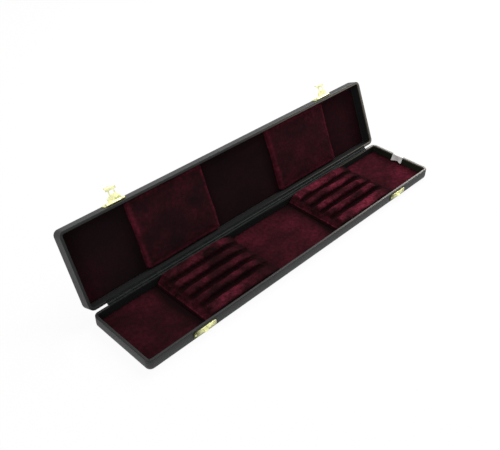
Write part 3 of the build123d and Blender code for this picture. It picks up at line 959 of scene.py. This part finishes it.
class BATONCASE_OT_linings(Operator):
    """Lay the velvet cards on the floors of both shells"""

    bl_idname = "baton_case.linings"
    bl_label = "Floor Linings"

    def execute(self, context):
        base = velvet_card("base_floor_velvet", 11)
        points = points_of(base)
        # Painted shadows darken the floor leftwards from each rack's left end, and painted light brightens it
        # towards the right.
        shaded = fading(points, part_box("rack_left")[0].x, 0.012)
        shaded += fading(points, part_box("rack_right")[0].x, 0.014)
        lying = 0.58 + 0.9 * np.clip(points[:, 0] + 0.1, -0.1, 0.35) + 0.2 * ripple(points, 0.06, 13)
        paint_nap_and_light(base, lying - 0.9 * shaded)
        dress(base, "base", finish_of("velvet_lining"), ["base_floor_lining"])
        lid = velvet_card("lid_floor_velvet", 23)
        points = points_of(lid)
        # Painted light on the lid's lining: a pale patch by one corner of its left end and a brighter right
        # part.
        corner = np.exp(-(((points[:, 0] + 0.215) / 0.025) ** 2 + ((points[:, 1] - 0.035) / 0.03) ** 2))
        paint_nap_and_light(lid, 0.08 + 0.4 * corner + 0.25 * (points[:, 0] > 0.13) + 0.05 * ripple(points, 0.06, 25))
        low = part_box("base_floor_lining")[0]
        closed = np.linalg.inv(np.array(lid_turn()))
        points = points_of(frame["nodes"]["lid_lining"])
        heights = points @ closed[2, :3] + closed[2, 3]
        over = Matrix.Translation((0, 0, heights.max() + low.z)) @ Matrix.Diagonal((1, 1, -1, 1))
        move(lid, lid_turn() @ over)
        dress(lid, "lid", finish_of("velvet_lid_shaded"), ["lid_lining"])
        return {"FINISHED"}


class BATONCASE_OT_racks(Operator):
    """Cover the two ridged foam racks in velvet"""

    bl_idname = "baton_case.racks"
    bl_label = "Baton Racks"

    def execute(self, context):
        # The right rack gets stronger painted highlights than the left.
        racks = (
            ("rack_left", 5, 0.6, 0.37, 0.25),
            ("rack_right", 17, 1.0, 1.0, 0.85),
        )
        for node, seed, share, glow, outer_glow in racks:
            piece = velvet_rack(node, seed, sizes().rack_waves * share, glow, outer_glow)
            dress(piece, "base", finish_of("velvet_rack"), [node])
        return {"FINISHED"}


class BATONCASE_OT_pads(Operator):
    """Cover the two padded blocks in the lid in velvet"""

    bl_idname = "baton_case.pads"
    bl_label = "Lid Pads"

    def execute(self, context):
        # The right pad is painted brighter than the left: painted light.
        for node, seed, lying in (("lid_pad_left", 31, 0.24), ("lid_pad_right", 47, 0.36)):
            piece = velvet_pad(node, seed, lying)
            dress(piece, "lid", finish_of("velvet_pad"), [node])
        return {"FINISHED"}


class BATONCASE_OT_hinge(Operator):
    """Finish the continuous hinge in black lacquer and set its nails"""

    bl_idname = "baton_case.hinge"
    bl_label = "Continuous Hinge"

    def execute(self, context):
        refinish("black_steel", "hinge_leaf_base", "hinge_leaf_lid", "hinge_pin")
        ways = {"base": Vector((0, 0, 1)), "lid": lid_turn().to_3x3() @ Vector((0, 0, -1))}
        for body, way in ways.items():
            node = "hinge_nails_" + body
            pattern = turned("hinge_nail_pattern", [(r * MM, h * MM) for r, h in HINGE_NAIL], 14)
            turn = way.to_track_quat("Z", "Y").to_euler()
            places = nail_places(node, way)
            finish = finish_of("black_steel")
            row = set_out(node + "_row", pattern, places, turn, NAIL_SPIN, finish, 3)
            smooth(row, 40)
            dress(row, body, None, [node])
        return {"FINISHED"}


class BATONCASE_OT_brass(Operator):
    """Make the latches and strikes of pale brass with soft edges and domed nails"""

    bl_idname = "baton_case.brass"
    bl_label = "Latches and Strikes"

    def execute(self, context):
        bodies = {"strike": "base", "latch_plate": "lid"}
        for side in ("left", "right"):
            for kind in ("strike", "latch_plate", "hasp"):
                node = kind + "_" + side
                piece = copy_of(node, node + "_brass")
                edge = piece.modifiers.new("Soft edges", "BEVEL")
                edge.width = sizes().brass_edge
                edge.segments = 2
                edge.limit_method = "ANGLE"
                edge.angle_limit = math.radians(30)
                edge.harden_normals = False
                whole = piece.modifiers.new("Whole faces", "DECIMATE")
                whole.decimate_type = "DISSOLVE"
                whole.angle_limit = math.radians(1.0)
                piece.modifiers.move(1, 0)
                settle(piece)
                smooth(piece, 40)
                finish = finish_of(node if kind == "strike" else "brass")
                dress(piece, bodies.get(kind, node), finish, [node])
        refinish("brass", "hasp_pin_left", "hasp_pin_right")
        ways = {
            "strike_nails": ("base", Vector((0, -1, 0))),
            "latch_nails": ("lid", lid_turn().to_3x3() @ Vector((0, -1, 0))),
        }
        for node, (body, way) in ways.items():
            pattern = turned("domed_nail_pattern", [(r * MM, h * MM) for r, h in DOMED_NAIL], 20)
            turn = way.to_track_quat("Z", "Y").to_euler()
            places = nail_places(node, way)
            finish = finish_of("brass_nails")
            row = set_out(node + "_row", pattern, places, turn, NAIL_SPIN, finish, 7)
            smooth(row, 50)
            dress(row, body, None, [node])
        return {"FINISHED"}


class BATONCASE_OT_ribbon(Operator):
    """Fold the ribbon tab over the right end wall"""

    bl_idname = "baton_case.ribbon"
    bl_label = "Ribbon Tab"

    def execute(self, context):
        low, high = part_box("ribbon_tab")
        thick = 0.35 * MM
        bend = 0.6 * MM
        radius = bend + thick / 2
        wall_in, wall_out, rim = low.x + thick, high.x - thick, high.z - thick
        outside_top, outside_low = rim - 0.8 * MM, rim - 4.5 * MM
        lift = sizes().ribbon_lift
        free_end = low.z + 1.2 * MM
        # Places along the ribbon from its free end: x, z, and the share of the lift there.
        path = []
        for t in np.linspace(0, 1, 12):
            path.append((wall_in - thick / 2 - 0.05 * MM, free_end + (rim - bend - free_end) * t, 1 - t))
        for a in np.linspace(0.35, math.pi / 2, 5):
            path.append((wall_in + bend - radius * math.cos(a), rim - bend + radius * math.sin(a), 0))
        for a in np.linspace(math.pi / 2, 0.35, 5):
            path.append((wall_out - bend + radius * math.cos(a), rim - bend + radius * math.sin(a), 0))
        for t in np.linspace(0, 1, 7):
            path.append((wall_out + thick / 2, outside_top + (outside_low - outside_top) * t, 0))
        across = 13
        points, faces = [], []
        for x, z, free in path:
            for j in range(across):
                v = j / (across - 1)
                bow = lift * free ** 1.2 * (0.62 + 0.38 * math.cos(7.2 * v - 0.6))
                points.append((x - bow, low.y + (high.y - low.y) * v, z + 0.4 * MM * free * math.sin(5 * v)))
        for i in range(len(path) - 1):
            for j in range(across - 1):
                a = i * across + j
                faces.append((a, a + 1, a + across + 1, a + across))
        piece = shape("ribbon_tab_cloth", points, faces)
        cloth = piece.modifiers.new("Cloth", "SOLIDIFY")
        cloth.thickness = thick * 0.8
        cloth.offset = 0
        settle(piece)
        subdivide(piece)
        face_outwards(piece)
        smooth(piece, 60)
        dress(piece, "base", finish_of("ribbon"), ["ribbon_tab"])
        return {"FINISHED"}


class BATONCASE_OT_stage(Operator):
    """Set the camera, the lamps, the white surroundings and the floor"""

    bl_idname = "baton_case.stage"
    bl_label = "Camera and Stage"

    def execute(self, context):
        context.scene.view_settings.view_transform = "Standard"
        photograph_camera()
        white_world()
        pale_floor()
        lamps = (
            ("key", (0.55, 0.25, 1.1), (0, 0, 0.02), 0.7, 9.0),
            ("right", (1.0, -0.15, 0.75), (0.1, 0, 0.02), 0.4, 4.0),
            ("left", (-1.1, -0.35, 0.55), (-0.1, 0, 0.03), 0.6, 4.0),
            ("rim", (1.05, 0.45, 0.7), (0.15, -0.04, 0.014), 0.25, 4.5),
        )
        for name, place, aim, wide, power in lamps:
            soft_lamp(name, place, aim, wide, power)
        return {"FINISHED"}


OPERATORS = (
    BATONCASE_OT_stage,
    BATONCASE_OT_coverings,
    BATONCASE_OT_linings,
    BATONCASE_OT_racks,
    BATONCASE_OT_pads,
    BATONCASE_OT_hinge,
    BATONCASE_OT_brass,
    BATONCASE_OT_ribbon,
)


class BATONCASE_PT_panel(Panel):
    """The sizes, colours and pieces of the baton case"""

    bl_idname = "BATONCASE_PT_panel"
    bl_label = "Baton Case"
    bl_space_type = "VIEW_3D"
    bl_region_type = "UI"
    bl_category = "Baton Case"

    def draw(self, context):
        for group in (context.scene.baton_case_sizes, context.scene.baton_case_colours):
            box = self.layout.box()
            for key in group.__annotations__:
                box.prop(group, key)
        for operator in OPERATORS:
            self.layout.operator(operator.bl_idname)


CLASSES = (BatonCaseSizes, BatonCaseColours) + OPERATORS + (BATONCASE_PT_panel,)


def register():
    for item in CLASSES:
        bpy.utils.register_class(item)
    bpy.types.Scene.baton_case_sizes = PointerProperty(type=BatonCaseSizes)
    bpy.types.Scene.baton_case_colours = PointerProperty(type=BatonCaseColours)


def unregister():
    del bpy.types.Scene.baton_case_colours
    del bpy.types.Scene.baton_case_sizes
    for item in reversed(CLASSES):
        bpy.utils.unregister_class(item)


def main():
    register()
    bpy.ops.baton_case.stage()
    bpy.ops.baton_case.coverings()
    bpy.ops.baton_case.linings()
    bpy.ops.baton_case.racks()
    bpy.ops.baton_case.pads()
    bpy.ops.baton_case.hinge()
    bpy.ops.baton_case.brass()
    bpy.ops.baton_case.ribbon()


if __name__ == "__main__":
    main()
